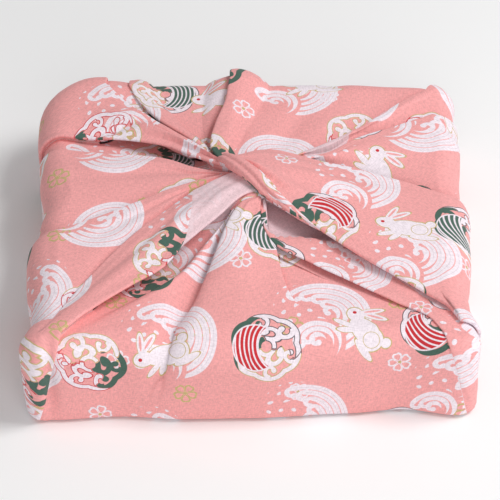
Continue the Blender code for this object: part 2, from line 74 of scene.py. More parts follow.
# One row for each fold, counter-clockwise from the front right, seen from above.
# over: 1 where the next panel lies on the last, -1 where it is tucked under it, 0 for a soft trough.
# line: the fold's edge in plan, from the knot to the rim. roll: the radius of the turned edge.
# overlap, low, high: how far the layers overlap, and how far the lower and the upper one stand
# above the tent, at the knot, the middle and the rim.
# lean: how far the fold drifts round the wrap on its way down the side. gone: the share of the
# side's height at which it has faded out, all of it where the row doesn't say.
# The rest is the panel that follows: puff is how far it swells, gathers are how many ridges run
# out of the knot and how high they are, side is the way its side faces, in degrees, and print is
# the turn and shift of the printed cloth there.
FOLDS = [
    dict(name="hem", over=1, roll=0.6, lean=13,
         line=[(5, -7), (5.5, -17), (6, -27), (13, -37), (28, -46), (46, -57), (64, -68), (78, -76),
               (87, -84)],
         overlap=(1, 5, 1.5), low=(0, -0.5, 0), high=(1.5, 3.6, 1.0), puff=(0, 0, 0),
         gathers=(0, 0, 0), side=-75, print=(25, 40, 20)),
    dict(name="main_lower", over=1, roll=1.1,
         line=[(-13, 19), (-1, 3), (8, -8), (17, -17), (32, -26), (59, -48), (85, -69), (97, -81)],
         overlap=(1, 10, 4), low=(-2, -1, 0), high=(7, 5.5, 3), puff=(2, 2.5, 1.5),
         gathers=(3, 1.1, 0.0), side=0, print=(-28, -13, 42)),
    dict(name="main_upper", over=-1, roll=0.8,
         line=[(-13, 22.5), (-5, 25.5), (8, 32), (20, 30), (32, 26), (52, 22), (73, 15), (93, 7)],
         overlap=(1, 8, 5), low=(0, -3.5, -2.5), high=(6, 4, 2.5), puff=(0, 2.5, 2.5),
         gathers=(2, 0.5, 0), side=0, print=(40, 10, -70)),
    dict(name="second_pleat", over=-1, roll=0.8,
         line=[(-13.3, 23), (8, 25), (34, 33), (52, 48), (72, 59), (93, 68)],
         overlap=(1, 7, 4), low=(0, -2.5, -2), high=(2, 3.4, 2.6), puff=(0, 2, 1.5),
         gathers=(2, 0.5, 0), side=20, print=(70, 90, 15)),
    dict(name="first_pleat", over=-1, roll=0.8,
         line=[(-13.6, 23.4), (3, 28), (23, 33), (48, 52), (62, 66), (74, 78), (87, 89)],
         overlap=(1, 7, 4), low=(0, -3, -1), high=(2, 3.6, 2.8), puff=(0, 0.5, 1),
         gathers=(0, 0, 0), side=90, print=(5, 20, 60)),
    dict(name="back_ridge_foot", over=0,
         line=[(-13.9, 23.4), (-8, 36), (-3, 50), (2, 66), (6, 80), (9, 86)],
         low=(2, 3.5, 0.5), puff=(0.5, 1.5, 3), gathers=(0, 0, 0), side=90, print=(5, 20, 60)),
    dict(name="back_ridge", over=-1, roll=1.0,
         line=[(-14.2, 23.4), (-20, 36), (-18, 52), (-16, 60), (-13, 71), (-11, 86)],
         overlap=(1, 6, 0.6), low=(0, 0, 7), high=(3, 7.5, 10.5), puff=(0, 0.5, 1),
         gathers=(0, 0, 0), side=90, print=(-20, -60, 10)),
    dict(name="back_ridge_side", over=0,
         line=[(-14.4, 23.3), (-21.5, 40), (-24, 58), (-24, 74), (-23, 86)],
         low=(0.5, 0.3, 0.8), puff=(0, 0, 0), gathers=(0, 0, 0), side=90, print=(-20, -60, 10)),
    dict(name="striped_foot", over=0,
         line=[(-14.5, 23.2), (-25, 41), (-32, 56), (-36, 64), (-43, 76), (-49, 86)],
         low=(0.5, 0.5, 0.5), puff=(0, 1, 1.5), gathers=(0, 0, 0), side=90, print=(-20, -60, 10)),
    dict(name="striped_fold", over=-1, roll=1.2,
         line=[(-14.8, 23), (-28, 42), (-42, 56), (-50, 66), (-57, 78), (-61, 86)],
         overlap=(0.7, 5, 4), low=(0, 0, 3.5), high=(1, 4.6, 4.8), puff=(0, -0.3, 0),
         gathers=(0, 0, 0), side=90, print=(60, 0, 0)),
    dict(name="left_upper", over=1, roll=1.0,
         line=[(-15, 22), (-22, 33), (-30, 43), (-48, 60), (-61, 73), (-72, 86)],
         overlap=(0.7, 7, 5), low=(0, 0, 4), high=(5, 5, 6), puff=(1, 2.2, 1),
         gathers=(2, 0.8, 0.2), side=135, print=(-55, 80, -30)),
    dict(name="left_lower", over=-1, roll=0.9,
         line=[(-10.5, 15.5), (-19, 21), (-29, 29.5), (-41, 39), (-58, 45.5), (-75, 49), (-92, 51)],
         overlap=(0.7, 5, 2), low=(-1, -4, -1.5), high=(5, 4.5, 2.4), puff=(0, -0.5, 0),
         gathers=(0, 0, 0), side=180, print=(15, -20, 80)),
    dict(name="rabbit_upper", over=1, roll=0.9,
         line=[(-10, 14.5), (-19, 18), (-29, 23.5), (-40, 31), (-56, 36), (-71, 38), (-92, 42)],
         overlap=(0.5, 3, 1), low=(-0.2, -2.5, -0.5), high=(2, 2.2, 1.4), puff=(0, 1.5, 1.5),
         gathers=(2, 0.6, 0), side=180, print=(0, -35, 50)),
    dict(name="vine_upper", over=1, roll=0.8,
         line=[(-9.5, 13.5), (-18, 12.5), (-28, 9.5), (-40, 5), (-53, -1), (-66, -7), (-82, -15), (-92, -18)],
         overlap=(0.5, 6, 4), low=(0.5, 0, 0), high=(2.5, 3.4, 2), puff=(0, 0.5, 1),
         gathers=(2, 0.5, 0), side=180, print=(30, 25, -15)),
    dict(name="strip_upper", over=1, roll=1.0,
         line=[(-9, 12.5), (-14, 10), (-22, 5), (-28, 1), (-42, -12), (-54, -24), (-68, -43), (-82, -66),
               (-90, -80)],
         overlap=(0.5, 4, 1.2), low=(1, 1.5, 0.2), high=(3.5, 4.6, 1.8), puff=(0.5, 0.8, 0),
         gathers=(2, 0.8, 0), side=200, print=(-65, -10, 30)),
    dict(name="strip_lower", over=-1, roll=0.9, lean=-12,
         line=[(4, -2), (-5, -7), (-15, -19), (-24, -28), (-31, -36), (-40, -50), (-54, -61), (-73, -77),
               (-86, -86)],
         overlap=(0.7, 9, 2.5), low=(-7, -6, -1), high=(4, 6, 4), puff=(1, 4.5, 0.3),
         gathers=(0, 0, 0), side=-90, print=(12, 50, 5)),
    dict(name="front_ridge", over=1, roll=1.4, lean=-16, gone=0.5,
         line=[(3, -5), (-5, -9), (-10, -18), (-15, -32), (-21, -50), (-27, -68), (-34, -88)],
         overlap=(0.5, 6, 2.0), low=(0, -2.5, -1), high=(2.5, 4, 1.2), puff=(0.5, 0, 0.5),
         gathers=(1, 0.5, 0), side=-90, print=(12, 50, 5)),
    dict(name="front_edge", over=-1, roll=0.8, lean=6, gone=0.25,
         line=[(4.5, -6.5), (4, -14), (5, -24), (10.5, -33), (12.5, -44), (17, -62), (26, -88)],
         overlap=(0.5, 5, 0), low=(0, -1.5, 0), high=(2.5, 2.2, 0), puff=(0, 0, 0),
         gathers=(0, 0, 0), side=-90, print=(12, 50, 5)),
]

# Fineness of the cloth, in millimetres between its threads of vertices
RIB_SPACING = 1.35
TOP_STEPS = 74
EDGE_STEPS = 10
SIDE_STEPS = 14
BASE_EDGE_STEPS = 4
BASE_RINGS = (0.93, 0.8, 0.62, 0.42, 0.22, 0.0)

# Where a fold has faded out, its threads of vertices lie this far apart
FLAT_SPACING = 0.3
# Out of sight under each fold the layers run on this much farther, and lie this much lower
TUCK = 12.0
TUCK_DROP = 1.2
# The tuck takes up at most this share of the way to the next fold
TUCK_ROOM = 0.6
# The shares of the way from the knot between which the tuck deepens, and between which it ends
TUCK_STARTS = (0.14, 0.34)
TUCK_ENDS = (0.62, 0.82)
# How finely the turned edge is rounded
ROLL_SECTIONS = 7
# The higher this is, the nearer the rim the folds' layers line up with it, and the panels between them
RIM_PULL = 9
PANEL_PULL = 3
# The curve by which folds and creases flatten down the side
SIDE_FADE = 0.8
# A turned edge's radius is at most the step in height over this
STEP_PER_ROLL = 2.4
# From this step in height on the layers lie fully over each other
FULL_STEP = 0.8
# Vertices closer than this become one, in metres
WELD = 1e-6


def three_way(values, share):
    """A value that runs smoothly from the knot's to the middle's to the rim's."""
    knot, middle, rim = values
    inner = np.clip(share / MIDDLE, 0, 1)
    outer = np.clip((share - MIDDLE) / (1 - MIDDLE), 0, 1)
    return (knot + (middle - knot) * inner * inner * (3 - 2 * inner)
            + (rim - middle) * outer * outer * (3 - 2 * outer))


def smooth_step(low, high, value):
    u = np.clip((value - low) / (high - low), 0, 1)
    return u * u * (3 - 2 * u)


def by_angle(angle, what):
    """A value of the sides table at an angle, running smoothly from row to row."""
    angles = [row["angle"] for row in SIDES] + [SIDES[0]["angle"] + 360]
    values = [row[what] for row in SIDES] + [SIDES[0][what]]
    angle = (angle - angles[0]) % 360 + angles[0]
    k = int(np.searchsorted(angles, angle, side="right")) - 1
    u = (angle - angles[k]) / (angles[k + 1] - angles[k])
    return values[k] + (values[k + 1] - values[k]) * u * u * (3 - 2 * u)


def dense_outline(step=0.5):
    """The outline in plan, counter-clockwise from the front: points, outward directions, edge radii."""
    spots = [np.array([row["x"], row["y"]]) for row in CORNERS]
    middle = (spots[-1] + spots[0]) / 2
    points, outs = [], []

    def run(start, end):
        along = (end - start) / np.linalg.norm(end - start)
        for u in np.arange(0, 1, step / np.linalg.norm(end - start)):
            points.append(start + (end - start) * u)
            outs.append(np.array([along[1], -along[0]]))

    at = middle
    for k, row in enumerate(CORNERS):
        coming = spots[k] - (spots[k - 1] if k else middle)
        going = spots[(k + 1) % len(spots)] - spots[k]
        coming, going = coming / np.linalg.norm(coming), going / np.linalg.norm(going)
        first, last = (math.atan2(-d[0], d[1]) for d in (coming, going))
        turn = (last - first) % (2 * math.pi)
        reach = row["radius"] * math.tan(turn / 2)
        run(at, spots[k] - coming * reach)
        centre = spots[k] - coming * reach - row["radius"] * np.array([coming[1], -coming[0]])
        for u in np.arange(0, 1, step / (row["radius"] * turn)):
            out = np.array([math.cos(first + turn * u), math.sin(first + turn * u)])
            points.append(centre + row["radius"] * out)
            outs.append(out)
        at = spots[k] + going * reach
    run(at, middle)
    angles = [math.degrees(math.atan2(p[1], p[0])) for p in points]
    swells = [by_angle(angle, "swell") for angle in angles]
    radii = np.array([by_angle(angle, "edge") for angle in angles])
    return np.array([p + out * swell for p, out, swell in zip(points, outs, swells)]), np.array(outs), radii


OUTLINE, OUTWARD, EDGE_RADII = dense_outline()
OUTLINE_SHARES = np.linspace(0, 1, len(OUTLINE), endpoint=False)
PERIMETER = float(np.linalg.norm(np.roll(OUTLINE, -1, axis=0) - OUTLINE, axis=1).sum())


def outline(share, inset=0.0):
    """Points on the outline at those shares of the way round, and the outward directions there."""
    out = np.stack([np.interp(share, OUTLINE_SHARES, OUTWARD[:, k], period=1) for k in range(2)], axis=-1)
    out /= np.linalg.norm(out, axis=-1, keepdims=True)
    at = np.stack([np.interp(share, OUTLINE_SHARES, OUTLINE[:, k], period=1) for k in range(2)], axis=-1)
    return at - out * np.asarray(inset)[..., None], out


def edge_radius(share):
    return np.interp(share, OUTLINE_SHARES, EDGE_RADII, period=1)


def rim_at(share):
    """The line where the top turns into the sides."""
    return outline(share, edge_radius(share))[0]


# The share of the way round just before the first fold; the folds' shares run on from here
FIRST_SHARE = 0.06


def share_near(point):
    rim = OUTLINE - OUTWARD * EDGE_RADII[:, None]
    share = float(OUTLINE_SHARES[np.argmin(np.linalg.norm(rim - np.array(point), axis=1))])
    return (share - FIRST_SHARE) % 1 + FIRST_SHARE


def smooth_line(points, steps=16):
    """A dense Catmull-Rom curve through the points."""
    p = [np.array(q, float) for q in points]
    p = [2 * p[0] - p[1], *p, 2 * p[-1] - p[-2]]
    dense = []
    for a, b, c, d in zip(p, p[1:], p[2:], p[3:]):
        for u in np.arange(steps) / steps:
            dense.append(0.5 * (2 * b + (c - a) * u + (2 * a - 5 * b + 4 * c - d) * u * u
                                + (3 * b - a - 3 * c + d) * u ** 3))
    dense.append(p[-2])
    return np.array(dense)


def resample(dense, shares):
    steps = np.linalg.norm(np.diff(dense, axis=0), axis=1)
    along = np.concatenate([[0], np.cumsum(steps)])
    return np.stack([np.interp(np.asarray(shares) * along[-1], along, dense[:, k])
                     for k in range(dense.shape[1])], axis=-1)


TOP_SHARES = np.linspace(0, 1, TOP_STEPS)


def climb(end, before, steps, after):
    """A value that stays at nothing, climbs to its end in even steps, and stays there."""
    return np.concatenate([np.zeros(before), np.linspace(0, end, steps + 1)[1:], np.full(after, end)])


# The stations below the rim: the turn over the top's edge, the straight side's share, the turn at the base
QUARTER = math.pi / 2
TOP_TURN = climb(QUARTER, 0, EDGE_STEPS, SIDE_STEPS + BASE_EDGE_STEPS)
SIDE_PART = climb(1, EDGE_STEPS, SIDE_STEPS, BASE_EDGE_STEPS)
BASE_TURN = climb(QUARTER, EDGE_STEPS + SIDE_STEPS, BASE_EDGE_STEPS, 0)
ALONG = np.concatenate([TOP_SHARES, np.ones(len(TOP_TURN))])


def down_from_rim(radius):
    """How far the stations lie below the rim along the cloth."""
    return radius * TOP_TURN + (TOP - radius - BASE_EDGE_RADIUS) * SIDE_PART + BASE_EDGE_RADIUS * BASE_TURN


# Most of the top's edge is this round, in millimetres
COMMON_EDGE_RADIUS = 12.0
DOWN = down_from_rim(COMMON_EDGE_RADIUS)
DOWN_SHARE = np.concatenate([np.zeros(TOP_STEPS), DOWN / DOWN[-1]])


def fade(gone):
    """Folds flatten down the side, and are gone at this share of the way."""
    return np.maximum(0, 1 - DOWN_SHARE / gone) ** SIDE_FADE


def side_points(share, lift):
    """Points on the side of the wrap at the down stations, lifted off the plain envelope."""
    radius = edge_radius(share)
    inset = radius * (1 - np.sin(TOP_TURN)) + BASE_EDGE_RADIUS * (1 - np.cos(BASE_TURN))
    z = (TOP - radius * (1 - np.cos(TOP_TURN)) - (TOP - radius - BASE_EDGE_RADIUS) * SIDE_PART
         - BASE_EDGE_RADIUS * np.sin(BASE_TURN))
    at, out = outline(share, inset)
    at = at + out * (np.sin(TOP_TURN) * np.cos(BASE_TURN) * lift)[:, None]
    return np.column_stack([at, z + np.cos(TOP_TURN) * lift])


class Rib:
    """One line of the cloth from the knot over the top and down the side."""

    def __init__(self, plan, share, lift, panel, kind="panel"):
        self.plan, self.share, self.lift, self.panel, self.kind = plan, share, lift, panel, kind


def fold_plan(fold):
    """The fold's line in plan at the top stations, and its share of the way round."""
    share = share_near(fold["line"][-1])
    return resample(smooth_line([*fold["line"][:-1], rim_at(share)]), TOP_SHARES), share


PLANS = [fold_plan(fold) for fold in FOLDS]


def fold_ribs(k):
    """The ribs over one fold, from its clockwise side to the other."""
    fold = FOLDS[k]
    before = FOLDS[k - 1]["name"]
    plan, share = PLANS[k]
    share = share + fold.get("lean", 0) * DOWN_SHARE / PERIMETER
    flatten = fade(fold.get("gone", 1.0))
    if fold["over"] == 0:
        return [Rib(plan, share, three_way(fold["low"], ALONG) * flatten, fold["name"])]
    ahead = np.gradient(plan, axis=0)
    ahead /= np.linalg.norm(ahead, axis=1)[:, None]
    across = np.column_stack([-ahead[:, 1], ahead[:, 0]]) * fold["over"]
    w = three_way(fold["overlap"], ALONG) * flatten
    low = three_way(fold["low"], ALONG) * flatten
    high = three_way(fold["high"], ALONG) * flatten
    roll = np.minimum(fold["roll"], np.maximum(high - low, 0.0) / STEP_PER_ROLL)
    reach = np.minimum(1, w / 2)
    under = high - 2 * roll
    beside = PLANS[(k + fold["over"]) % len(FOLDS)][0]
    room = np.interp(ALONG, TOP_SHARES, TUCK_ROOM * np.linalg.norm(beside - plan, axis=1))
    deep = smooth_step(*TUCK_STARTS, ALONG) * (1 - smooth_step(*TUCK_ENDS, ALONG))
    far = np.maximum(w, np.minimum(w + TUCK * deep, room))
    drop = TUCK_DROP * deep
    # Across the fold, under the upper layer and back round its turned edge: how far from the line, how high
    sections = [(-2.2 * reach, low), (-1.1 * reach, low - 0.03), (0.2 * w, low - 0.1 * reach),
                (0.6 * far, low - 0.15 * reach - 0.7 * drop), (far, low - drop),
                (far + 0.3 * reach, low * 0.75 + under * 0.25 - drop), (far, low * 0.5 + under * 0.5 - drop),
                (0.6 * far, low * 0.25 + under * 0.75 - 0.7 * drop), (0.25 * w + roll, under - 0.02)]
    for turn in np.radians(np.linspace(-90, 90, ROLL_SECTIONS)):
        sections.append((roll * (1 - np.cos(turn)), high - roll + roll * np.sin(turn)))
    sections.append((roll + 0.9 * reach, high + 0.08 * reach))
    sections.append((roll + 2.0 * reach, high + 0.1 * reach))
    lower, upper = (before, fold["name"]) if fold["over"] > 0 else (fold["name"], before)
    folded = smooth_step(0, FULL_STEP, high - low)
    ribs = []
    for n, (offset, lift) in enumerate(sections):
        offset = offset * folded + (n - len(sections) / 2) * FLAT_SPACING * (1 - folded)
        at = plan + across * offset[:TOP_STEPS, None]
        shares = share + fold["over"] * offset / PERIMETER
        at = at + (rim_at(shares[TOP_STEPS - 1]) - at[-1]) * (TOP_SHARES ** RIM_PULL)[:, None]
        ribs.append(Rib(at, shares, lift, lower if n <= 4 else upper, "fold"))
    return ribs if fold["over"] > 0 else ribs[::-1]


def panel_ribs(first, second, fold):
    """The ribs of the panel between two folds."""
    width = (second.share[-1] - first.share[-1]) * PERIMETER
    count = max(2, round(width / RIB_SPACING))
    flatten = fade(1.0)
    swell = three_way(fold["puff"], ALONG) * flatten
    number, near, far = fold["gathers"]
    ridge = three_way((near, near, far), ALONG) * flatten * smooth_step(0.02, 0.12, ALONG)
    ribs = []
    for k in range(1, count + 1):
        v = k / (count + 1)
        plan = first.plan * (1 - v) + second.plan * v
        share = first.share * (1 - v) + second.share * v
        rim = rim_at(share[TOP_STEPS - 1])
        plan = plan + (rim - plan[-1]) * (TOP_SHARES ** PANEL_PULL)[:, None]
        lift = first.lift * (1 - v) + second.lift * v + swell * 4 * v * (1 - v)
        if number:
            # Unevenly spaced ridges that die out at the panel's sides
            wave = math.sin(2 * math.pi * number * (v + 0.12 * math.sin(5 * v)))
            lift = lift + ridge * wave * math.sin(math.pi * v) ** 0.6
        ribs.append(Rib(plan, share, lift, fold["name"]))
    return ribs


def all_ribs():
    folds = [fold_ribs(k) for k in range(len(FOLDS))]
    ribs = []
    for k, fold in enumerate(FOLDS):
        after = folds[(k + 1) % len(folds)][0]
        if k + 1 == len(folds):
            after = Rib(after.plan, after.share + 1, after.lift, after.panel)
        ribs += folds[k]
        ribs += panel_ribs(folds[k][-1], after, fold)
    return ribs


# Where the pale reverse shows: on the knot's side of these lines in plan, panel by panel
REVERSE_EDGES = {
    "hem": [(-4, -14), (2, -17), (7.4, -27.3), (12.1, -29.5), (20, -27.5), (29, -26), (43, -29.5),
            (56, -42), (75, -60)],
    "strip_upper": [(-10, 30), (-19.5, 17.4), (-25, 7.6), (-27.7, -0.5), (-28, -14.6), (-29.4, -26),
                    (-32, -37), (-40, -52)],
    "second_pleat": [(20, 32.5), (29, 31.5), (37, 35), (44, 42), (49, 52)],
}
# The signed distance of cloth that is far outside every pale part
RIGHT_SIDE = -9.0
# The pocket right of the knot lies this much lower than its lip, falls to that between these distances
# from it, and ends between these places to the right
LIP_DEPTH = 4.5
LIP_SLOPE = (-1.0, 5.5)
POCKET_END = (44, 62)
# The lip itself and the other turned edges stand this much proud, and are this wide
LIP_HEIGHT, LIP_WIDTH = 0.8, 2.0
EDGE_HEIGHT, EDGE_WIDTH = 0.5, 1.3
# How far down the side the creases of the top run on
CREASE_GONE = 0.7

# Soft creases: ridges, or valleys where the height is negative, in millimetres: the width,
# the height at the line's start, middle and end, and the line in plan
CREASES = [
    dict(name="front_valley", width=6.0, height=(0, -3.0, -5.0),
         line=[(-14, -24), (-21, -42), (-29, -62), (-37, -84)]),
    dict(name="strip_wrinkle_high", width=1.5, height=(-0.3, -1.0, -0.2),
         line=[(-25, -3), (-16, 4), (-7, 9)]),
    dict(name="strip_wrinkle_low", width=1.7, height=(-0.3, -1.2, -0.3),
         line=[(-27, -17), (-18, -5), (-9, 3), (-3, 7)]),
    dict(name="strip_edge_roll", width=2.0, height=(0.3, 0.9, 0.3),
         line=[(-28, -25), (-17, -11), (-7, 0)]),
    dict(name="left_roll", width=3.5, height=(0, 1.4, 0.3),
         line=[(-16, -24), (-26, -44), (-44, -60), (-66, -72)]),
    dict(name="main_ridge_high", width=4.5, height=(0.5, 1.5, 0.2),
         line=[(4, 14), (20, 12), (44, 4), (72, -10)]),
    dict(name="main_valley", width=4.0, height=(-0.5, -1.4, -0.3),
         line=[(6, 6), (22, 0), (42, -12), (66, -30)]),
    dict(name="main_ridge_low", width=4.0, height=(0, 1.2, 0.4),
         line=[(14, -6), (34, -18), (58, -36), (82, -58)]),
    dict(name="left_ridge", width=5.0, height=(0, 1.0, 0.6),
         line=[(-24, 24), (-44, 26), (-66, 24), (-90, 26)]),
    dict(name="vine_valley", width=5.0, height=(-0.4, -1.0, 0),
         line=[(-18, 10), (-36, -2), (-58, -14), (-84, -34)]),
    dict(name="strip_ridge", width=4.0, height=(0.4, 1.2, 0.5),
         line=[(-16, 2), (-32, -18), (-48, -40), (-72, -66)]),
    dict(name="back_valley", width=6.0, height=(-0.5, -1.6, -0.5),
         line=[(6, 34), (16, 50), (24, 66), (30, 84)]),
    dict(name="back_right", width=7.0, height=(0, 1.2, 0.3),
         line=[(24, 44), (40, 62), (50, 84)]),
    dict(name="left_back_crease", width=1.8, height=(-0.2, -1.3, -0.6),
         line=[(-50, 57), (-62, 54), (-76, 51), (-90, 54)]),
    dict(name="left_back_ridge", width=4.0, height=(0.2, 1.1, 0.4),
         line=[(-44, 62), (-60, 63), (-80, 64)]),
    dict(name="main_fan_high", width=3.0, height=(-0.4, -1.0, -0.2),
         line=[(8, 12), (26, 14), (52, 12), (80, 10)]),
    dict(name="main_fan_low", width=2.6, height=(-0.5, -1.0, -0.3),
         line=[(10, 0), (26, -8), (46, -24), (70, -44)]),
    dict(name="rabbit_fan", width=3.0, height=(-0.5, -1.0, -0.3),
         line=[(-16, 15), (-32, 18), (-54, 20), (-84, 18)]),
    dict(name="back_fan", width=3.0, height=(-0.5, -1.1, -0.4),
         line=[(-6, 28), (-6, 46), (-4, 66), (-2, 84)]),
    dict(name="front_ease", width=9.0, height=(0, 1.0, 0.3),
         line=[(0, -26), (-4, -50), (-6, -80)]),
    dict(name="front_ease_right", width=8.0, height=(0, -0.8, -0.2),
         line=[(28, -52), (38, -66), (48, -84)]),
]

# Soft folds that run down the sides: where on the outline, in plan, and how high, widest in the middle
SIDE_CREASES = [
    dict(name="corner_flap", at=(-95.5, -99), width=2.6, height=1.8),
    dict(name="flap_foot", at=(-91, -98), width=2.6, height=-2.2),
    dict(name="front_left_ease", at=(-62, -98), width=9.0, height=-0.8),
    dict(name="front_ease_low", at=(18, -96), width=14.0, height=0.7),
    dict(name="right_front_tuck", at=(101, -58), width=4.0, height=-1.6),
    dict(name="right_tuck", at=(101, 8), width=5.0, height=-1.3),
    dict(name="right_back_tuck", at=(101, 58), width=4.0, height=-1.4),
    dict(name="back_right_tuck", at=(40, 98), width=5.0, height=-1.5),
    dict(name="back_tuck", at=(-14, 98), width=4.0, height=-1.8),
    dict(name="back_left_tuck", at=(-60, 98), width=5.0, height=-1.3),
    dict(name="left_back_tuck", at=(-102, 46), width=4.0, height=-1.5),
    dict(name="left_tuck", at=(-102, -18), width=5.0, height=-1.4),
    dict(name="left_front_tuck", at=(-102, -62), width=4.0, height=-1.2),
]


def unevenness(x, y):
    """Cloth never lies quite flat: slow waves a fraction of a millimetre high."""
    slow = np.sin(x * 0.071 + 1.3 * np.sin(y * 0.043)) * np.sin(y * 0.083 + 0.7 + 0.9 * np.sin(x * 0.037))
    quick = np.sin(x * 0.19 - y * 0.11 + 1.7 * np.sin(y * 0.06)) * np.sin(y * 0.15 + x * 0.07)
    return 0.45 * slow + 0.16 * quick


def beside_line(line, points):
    """Signed distance of points from a line in plan, positive on its left, and how far along it they lie."""
    best, side, along = (np.full(points.shape[:-1], value) for value in (np.inf, 1.0, 0.0))
    for k, (a, b) in enumerate(zip(line[:-1], line[1:])):
        run = b - a
        u = np.clip(((points - a) @ run) / (run @ run), 0, 1)
        off = points - (a + u[..., None] * run)
        gap = np.linalg.norm(off, axis=-1)
        closer = gap < best
        best = np.where(closer, gap, best)
        cross = run[0] * (points[..., 1] - a[1]) - run[1] * (points[..., 0] - a[0])
        side = np.where(closer, np.sign(cross), side)
        along = np.where(closer, (k + u) / (len(line) - 1), along)
    return best * side, along


def add_reverse(plan, lift, panel):
    """How far each spot lies inside a pale part; the pocket and the turned edges are shaped in passing."""
    reverse = np.full(lift.shape, RIGHT_SIDE)
    for name, edge in REVERSE_EDGES.items():
        rows = panel == name
        gap, _ = beside_line(smooth_line(edge, 6), plan[rows])
        if name == "hem":
            inside = (smooth_step(*LIP_SLOPE, gap) * smooth_step(0, 0.1, TOP_SHARES)
                      * (1 - smooth_step(*POCKET_END, plan[rows][..., 0])))
            lip = LIP_HEIGHT * np.exp(-((gap + 1.0) / LIP_WIDTH) ** 2)
            lift[rows, :TOP_STEPS] -= LIP_DEPTH * inside - lip
        else:
            lift[rows, :TOP_STEPS] += EDGE_HEIGHT * np.exp(-(gap / EDGE_WIDTH) ** 2)
        reverse[rows, :TOP_STEPS] = gap
    base = np.full((len(plan), len(BASE_RINGS)), RIGHT_SIDE)
    return np.concatenate([reverse, base], axis=1)


def add_creases(plan, share, lift):
    """The cloth's slow waves, the side folds and the creases of the top, which run on down the side."""
    x, y = plan[..., 0], plan[..., 1]
    down = DOWN_SHARE[TOP_STEPS:]
    lift[:, :TOP_STEPS] += unevenness(x, y) * smooth_step(0.05, 0.4, TOP_SHARES)
    # The side takes its waves from a stretch of them that the top doesn't use
    around_side, down_side = share[:, TOP_STEPS:] * PERIMETER, down * 60 + 100
    lift[:, TOP_STEPS:] += unevenness(around_side, down_side) * np.sqrt(np.maximum(0, 1 - down))
    for crease in SIDE_CREASES:
        at = OUTLINE_SHARES[np.argmin(np.linalg.norm(OUTLINE - np.array(crease["at"]), axis=1))]
        gap = ((share[:, TOP_STEPS:] - at + 0.5) % 1 - 0.5) * PERIMETER
        middle = np.sin(math.pi * down) ** SIDE_FADE
        lift[:, TOP_STEPS:] += crease["height"] * np.exp(-(gap / crease["width"]) ** 2) * middle
    for crease in CREASES:
        gap, along = beside_line(smooth_line(crease["line"], 5), plan)
        height = three_way(crease["height"], along)
        rise = height * np.exp(-(gap / crease["width"]) ** 2)
        lift[:, :TOP_STEPS] += rise
        lift[:, TOP_STEPS:] += rise[:, -1:] * fade(CREASE_GONE)[TOP_STEPS:]


# Below a corner of the top the print spreads out to its full width over this many millimetres
CORNER_EASE = 22.0


def flat_places(plan, share, panel, side, base):
    """Every vertex's place on the flat cloth: as seen from above, then unrolled down the side and under."""
    row_of = {fold["name"]: fold for fold in FOLDS}
    turn = np.radians([row_of[name]["side"] for name in panel])
    out = np.stack([np.cos(turn), np.sin(turn)], axis=-1)
    down = down_from_rim(edge_radius(share))
    along = np.stack([-out[:, 1], out[:, 0]], axis=-1)[:, None]
    rim = rim_at(share)
    ahead = share * PERIMETER - (rim * along).sum(-1)
    prints = np.array([f"{row_of[name]['side']} {row_of[name]['print']}" for name in panel])
    for name in set(prints):
        ahead[prints == name] -= np.median(ahead[prints == name])
    ahead = ((ahead + PERIMETER / 2) % PERIMETER - PERIMETER / 2) * smooth_step(0, CORNER_EASE, down)
    flat_side = rim + out[:, None] * down[..., None] + along * ahead[..., None]
    inward = np.linalg.norm(side[:, -1:, :2] - base[..., :2], axis=-1, keepdims=True)
    flat_base = flat_side[:, -1:] + inward * out[:, None]
    flat = np.concatenate([plan, flat_side, flat_base], axis=1)
    spin = np.radians([row_of[name]["print"][0] for name in panel])[:, None]
    shift = np.array([row_of[name]["print"][1:] for name in panel])[:, None]
    return turned_print(flat[..., 0], flat[..., 1], spin) + shift


def turned_print(x, y, spin):
    c, s = np.cos(spin), np.sin(spin)
    return np.stack([c * x - s * y, s * x + c * y], axis=-1)


def cloth_arrays(ribs):
    """Every vertex's place, its place on the flat cloth, and how far it lies inside a pale part."""
    plan = np.array([rib.plan for rib in ribs])
    share = np.array([rib.share for rib in ribs])
    lift = np.array([rib.lift for rib in ribs])
    panel = np.array([rib.panel for rib in ribs])
    reverse = add_reverse(plan, lift, panel)
    add_creases(plan, share, lift)
    x, y = plan[..., 0], plan[..., 1]
    tent = TENT_HEIGHT * np.exp(-(x * x + y * y) / TENT_REACH ** 2)
    top = np.stack([x, y, TOP + tent + lift[:, :TOP_STEPS]], -1)
    side = np.array([side_points(s[TOP_STEPS:], l[TOP_STEPS:]) for s, l in zip(share, lift)])
    base = np.stack([side[:, -1] * np.array([f, f, 0]) for f in BASE_RINGS], axis=1)
    flat = flat_places(plan, share[:, TOP_STEPS:], panel, side, base)
    return np.concatenate([top, side, base], axis=1), flat, reverse


